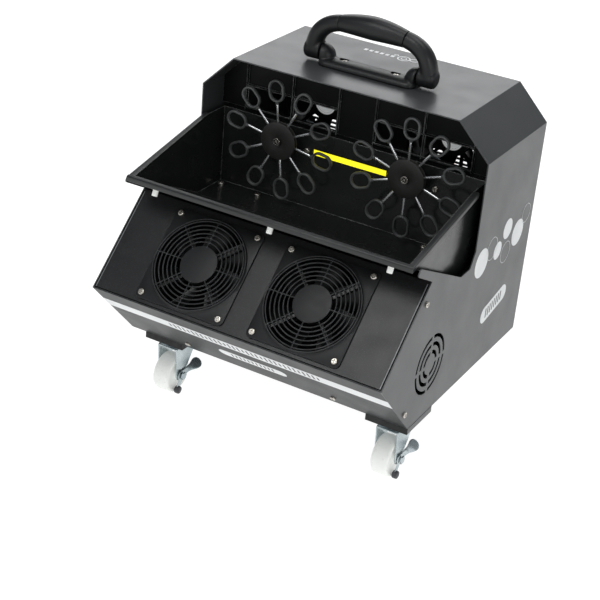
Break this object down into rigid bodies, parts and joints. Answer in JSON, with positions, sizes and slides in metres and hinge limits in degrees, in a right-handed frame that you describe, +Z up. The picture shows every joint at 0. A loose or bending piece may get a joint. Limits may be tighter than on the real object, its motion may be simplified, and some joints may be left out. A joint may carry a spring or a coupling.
{
  "type": "bubble machine",
  "caption": "Stage bubble machine: dark grey steel case on casters, twin wand wheels over a black fluid tray, guarded fans on the sloping front, folding top handle",
  "frame": {"origin": "on the floor under the middle of the machine's box", "axes": "+Z up, -Y towards the front where the fans and tray are, +X to the viewer's right when facing the front"},
  "size_m": [0.3864, 0.392, 0.4774],
  "materials": {
    "black_gloss_paint": "gloss black paint",
    "black_plastic": "satin black moulded plastic",
    "black_rubber": "matt black block",
    "black_textured_paint": "fine-textured black paint",
    "board_green": "circuit board and parts",
    "bright_screw": "bright plated",
    "bright_steel": "bright steel",
    "dark_grey_plastic": "moulded grey plastic",
    "grey_powder_coat": "satin grey powder coat",
    "handle_black": "satin black soft grip",
    "white_nylon": "translucent white nylon",
    "yellow_label": "printed label",
    "zinc_steel": "bright zinc plate"
  },
  "bodies": {
    "case": {"base_pan": "grey_powder_coat", "bulkhead": "black_gloss_paint", "case_screws": "bright_screw", "caster_pads": "black_rubber", "caster_plates": "zinc_steel", "control_board": "board_green", "fan_guard_left": "black_plastic", "fan_guard_right": "black_plastic", "fan_panel": "black_textured_paint", "front_fan_frame_left": "black_plastic", "front_fan_frame_right": "black_plastic", "front_fan_screws": "bright_screw", "fuse_holder": "black_plastic", "gear_motor_left": "zinc_steel", "gear_motor_right": "zinc_steel", "handle_base": "handle_black", "handle_screws": "bright_screw", "level_label": "yellow_label", "mains_inlet": "black_plastic", "motor_screws": "bright_screw", "outer_cover": "grey_powder_coat", "power_switch": "black_plastic", "rear_fan_frame_left": "black_plastic", "rear_fan_frame_right": "black_plastic", "rear_fan_screws": "bright_screw", "rear_panel": "grey_powder_coat", "remote_socket": "zinc_steel", "tray": "black_gloss_paint", "tray_feet": "white_nylon", "tray_screws": "bright_screw"},
    "bubble_wheel_left": {"wand_star_left": "bright_steel", "wands_left": "dark_grey_plastic", "wheel_disc_front_left": "black_plastic", "wheel_disc_back_left": "black_plastic", "wheel_shaft_left": "bright_steel"},
    "bubble_wheel_right": {"wand_star_right": "bright_steel", "wands_right": "dark_grey_plastic", "wheel_disc_front_right": "black_plastic", "wheel_disc_back_right": "black_plastic", "wheel_shaft_right": "bright_steel"},
    "front_rotor_left": {"front_fan_rotor_left": "black_plastic"},
    "front_rotor_right": {"front_fan_rotor_right": "black_plastic"},
    "rear_rotor_left": {"rear_fan_rotor_left": "black_plastic"},
    "rear_rotor_right": {"rear_fan_rotor_right": "black_plastic"},
    "handle_bail": {"handle_leg_left": "handle_black", "handle_leg_right": "handle_black", "handle_grip": "handle_black"},
    "rocker": {"power_rocker": "black_plastic"},
    "fork_front_left": {"caster_fork_front_left": "zinc_steel"},
    "roller_front_left": {"caster_wheel_front_left": "white_nylon"},
    "fork_front_right": {"caster_fork_front_right": "zinc_steel"},
    "roller_front_right": {"caster_wheel_front_right": "white_nylon"},
    "fork_rear_left": {"caster_fork_rear_left": "zinc_steel"},
    "roller_rear_left": {"caster_wheel_rear_left": "white_nylon"},
    "fork_rear_right": {"caster_fork_rear_right": "zinc_steel"},
    "roller_rear_right": {"caster_wheel_rear_right": "white_nylon"},
    "brake_left": {"brake_lever_left": "zinc_steel"},
    "brake_right": {"brake_lever_right": "zinc_steel"}
  },
  "joints": [
    {"name": "bubble_wheel_left_spin", "type": "hinge", "parent": "case", "child": "bubble_wheel_left", "pos_m": [-0.087, 0.0365, 0.315], "axis": [0, -1, 0], "continuous": true},
    {"name": "bubble_wheel_right_spin", "type": "hinge", "parent": "case", "child": "bubble_wheel_right", "pos_m": [0.087, 0.0365, 0.315], "axis": [0, -1, 0], "continuous": true},
    {"name": "front_rotor_left_spin", "type": "hinge", "parent": "case", "child": "front_rotor_left", "pos_m": [-0.075, -0.14443, 0.2196], "axis": [0, -0.6921, 0.7218], "continuous": true},
    {"name": "front_rotor_right_spin", "type": "hinge", "parent": "case", "child": "front_rotor_right", "pos_m": [0.075, -0.14443, 0.2196], "axis": [0, -0.6921, 0.7218], "continuous": true},
    {"name": "rear_rotor_left_spin", "type": "hinge", "parent": "case", "child": "rear_rotor_left", "pos_m": [-0.089, 0.172, 0.329], "axis": [0, -1, 0], "continuous": true},
    {"name": "rear_rotor_right_spin", "type": "hinge", "parent": "case", "child": "rear_rotor_right", "pos_m": [0.089, 0.172, 0.329], "axis": [0, -1, 0], "continuous": true},
    {"name": "handle_fold", "type": "hinge", "parent": "case", "child": "handle_bail", "pos_m": [0, 0.087, 0.422], "axis": [1, 0, 0], "range_deg": [-88, 88]},
    {"name": "power_rocker_tilt", "type": "hinge", "parent": "case", "child": "rocker", "pos_m": [-0.13, 0.1885, 0.14], "axis": [1, 0, 0], "range_deg": [-20, 0]},
    {"name": "caster_front_left_swivel", "type": "hinge", "parent": "case", "child": "fork_front_left", "pos_m": [-0.1473, -0.07, 0.064], "axis": [0, 0, 1], "continuous": true},
    {"name": "caster_front_left_roll", "type": "hinge", "parent": "fork_front_left", "child": "roller_front_left", "pos_m": [-0.1473, -0.085, 0.025], "axis": [1, 0, 0], "continuous": true},
    {"name": "caster_front_right_swivel", "type": "hinge", "parent": "case", "child": "fork_front_right", "pos_m": [0.1602, -0.07, 0.064], "axis": [0, 0, 1], "continuous": true},
    {"name": "caster_front_right_roll", "type": "hinge", "parent": "fork_front_right", "child": "roller_front_right", "pos_m": [0.1602, -0.085, 0.025], "axis": [1, 0, 0], "continuous": true},
    {"name": "caster_rear_left_swivel", "type": "hinge", "parent": "case", "child": "fork_rear_left", "pos_m": [-0.12, 0.149, 0.064], "axis": [0, 0, 1], "continuous": true},
    {"name": "caster_rear_left_roll", "type": "hinge", "parent": "fork_rear_left", "child": "roller_rear_left", "pos_m": [-0.12, 0.134, 0.025], "axis": [1, 0, 0], "continuous": true},
    {"name": "caster_rear_right_swivel", "type": "hinge", "parent": "case", "child": "fork_rear_right", "pos_m": [0.12, 0.149, 0.064], "axis": [0, 0, 1], "continuous": true},
    {"name": "caster_rear_right_roll", "type": "hinge", "parent": "fork_rear_right", "child": "roller_rear_right", "pos_m": [0.12, 0.134, 0.025], "axis": [1, 0, 0], "continuous": true},
    {"name": "brake_left_tilt", "type": "hinge", "parent": "fork_front_left", "child": "brake_left", "pos_m": [-0.1315, -0.085, 0.025], "axis": [1, 0, 0], "range_deg": [-14, 0]},
    {"name": "brake_right_tilt", "type": "hinge", "parent": "fork_front_right", "child": "brake_right", "pos_m": [0.176, -0.085, 0.025], "axis": [1, 0, 0], "range_deg": [-14, 0]}
  ]
}
